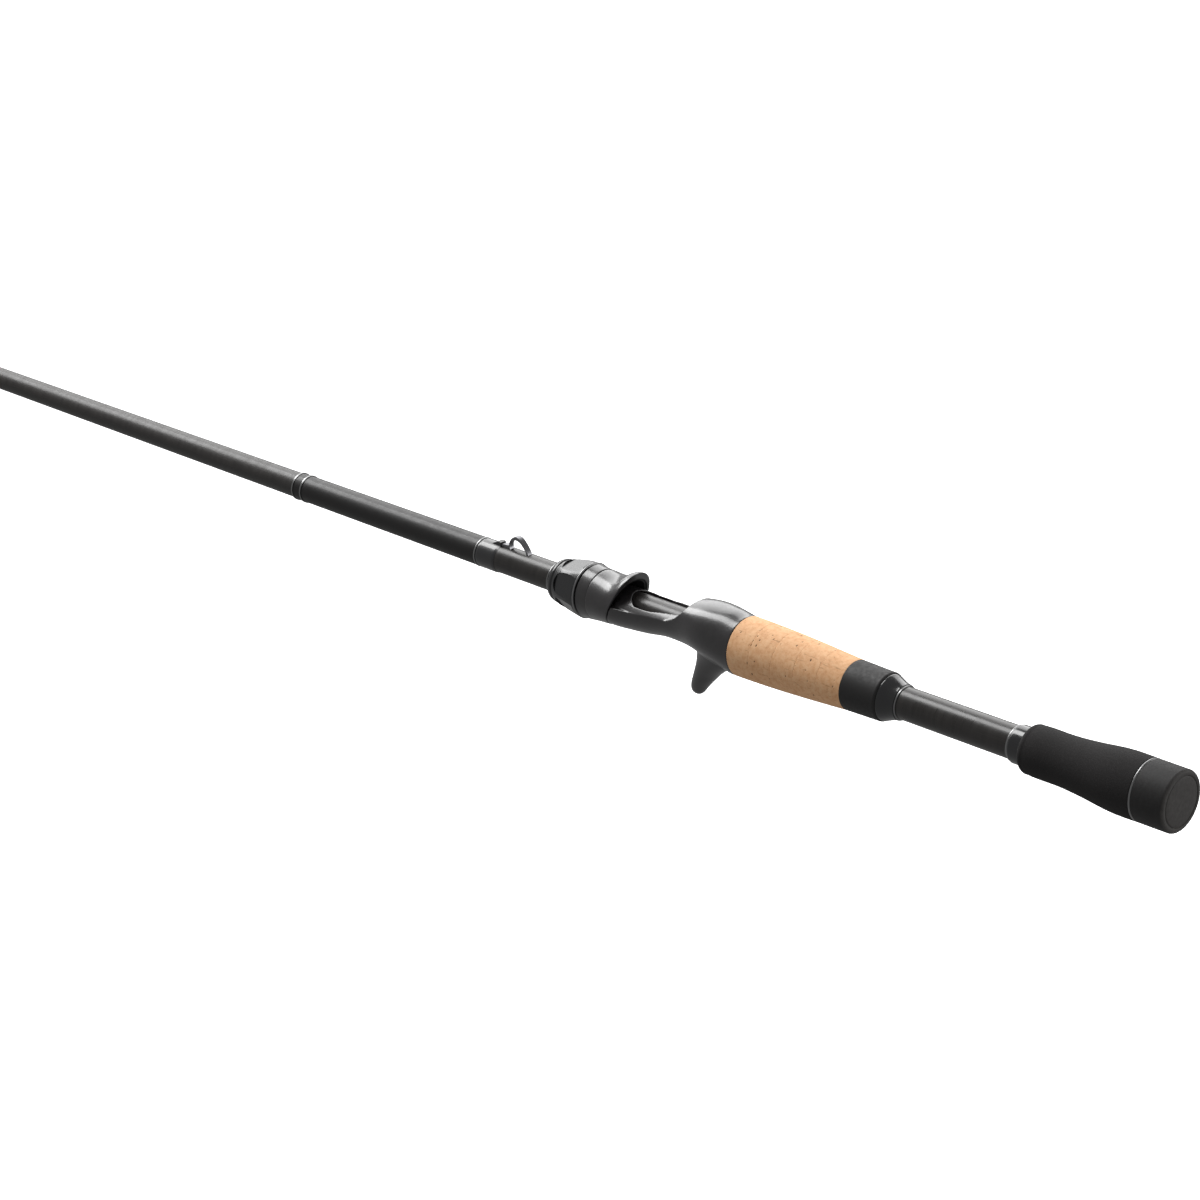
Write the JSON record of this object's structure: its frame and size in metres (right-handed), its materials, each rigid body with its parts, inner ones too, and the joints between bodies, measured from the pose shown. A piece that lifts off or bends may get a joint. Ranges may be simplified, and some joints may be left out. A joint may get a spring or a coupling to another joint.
{
  "type": "baitcasting fishing rod",
  "caption": "Long tapered fishing rod with a split grip of foam and cork, an empty trigger reel seat with a screw-down hood, a hook keeper, and ring guides along the blank to the tip.",
  "frame": {"origin": "centre of the flat end face of the butt cap", "axes": "+X along the rod from butt to tip, +Z towards the side that carries the reel and the guides, so the trigger points to -Z"},
  "size_m": [2.1336, 0.0266, 0.0531],
  "materials": {
    "graphite_blank": "satin clear coat over graphite",
    "cap_rubber": "matte",
    "eva_foam": "fine closed-cell foam, matte",
    "cork": "sanded cork with small dark pits",
    "gloss_black_trim": "gloss",
    "matte_black_trim": "matte",
    "seat_graphite": "satin, soft-touch",
    "hood_cushion": "matte",
    "arbor_foam": "bonded filler",
    "nut_black": "semi-gloss",
    "bright_ring": "polished",
    "guide_steel": "dark polished",
    "epoxy_wrap": "epoxy coat over black thread",
    "ceramic_ring": "polished ceramic"
  },
  "bodies": {
    "rod": {"blank": "graphite_blank", "butt_cap": "cap_rubber", "butt_trim_ring": "bright_ring", "cork_ring_1": "cork", "cork_ring_2": "cork", "cork_ring_3": "cork", "cork_ring_4": "cork", "cork_ring_5": "cork", "front_trim_band": "epoxy_wrap", "front_trim_rings": "bright_ring", "gloss_sleeve": "epoxy_wrap", "grip_check_ring": "bright_ring", "grip_trim_collar": "matte_black_trim", "grip_winding_check": "gloss_black_trim", "guide_1_frame": "guide_steel", "guide_1_ring": "ceramic_ring", "guide_1_wraps": "epoxy_wrap", "guide_2_frame": "guide_steel", "guide_2_ring": "ceramic_ring", "guide_2_wraps": "epoxy_wrap", "guide_3_frame": "guide_steel", "guide_3_ring": "ceramic_ring", "guide_3_wraps": "epoxy_wrap", "guide_4_frame": "guide_steel", "guide_4_ring": "ceramic_ring", "guide_4_wrap": "epoxy_wrap", "guide_5_frame": "guide_steel", "guide_5_ring": "ceramic_ring", "guide_5_wrap": "epoxy_wrap", "guide_6_frame": "guide_steel", "guide_6_ring": "ceramic_ring", "guide_6_wrap": "epoxy_wrap", "guide_7_frame": "guide_steel", "guide_7_ring": "ceramic_ring", "guide_7_wrap": "epoxy_wrap", "guide_8_frame": "guide_steel", "guide_8_ring": "ceramic_ring", "guide_8_wrap": "epoxy_wrap", "hook_keeper": "guide_steel", "hook_keeper_wrap": "epoxy_wrap", "keeper_trim_ring": "bright_ring", "rear_grip": "eva_foam", "rear_grip_collar": "gloss_black_trim", "rear_grip_ring": "bright_ring", "reel_seat_body": "seat_graphite", "seat_arbor_front": "arbor_foam", "seat_arbor_rear": "arbor_foam", "tip_top_frame": "guide_steel", "tip_top_ring": "ceramic_ring"},
    "hood": {"sliding_hood": "seat_graphite", "hood_liner": "hood_cushion", "hood_collar": "seat_graphite"},
    "nut": {"locking_nut": "nut_black", "nut_trim_ring": "bright_ring", "nut_cone": "nut_black", "nut_nose_ring": "bright_ring"}
  },
  "joints": [
    {"name": "hood_slide", "type": "slide", "parent": "rod", "child": "hood", "axis": [1, 0, 0], "range_m": [0, 0.009]},
    {"name": "nut_spin", "type": "hinge", "parent": "hood", "child": "nut", "pos_m": [0.31595, 0, 0], "axis": [1, 0, 0], "range_deg": [0, 2160]}
  ],
  "couplings": [
    {"joint": "hood_slide", "follows": "nut_spin", "m_per_rad": 0.00023873}
  ]
}
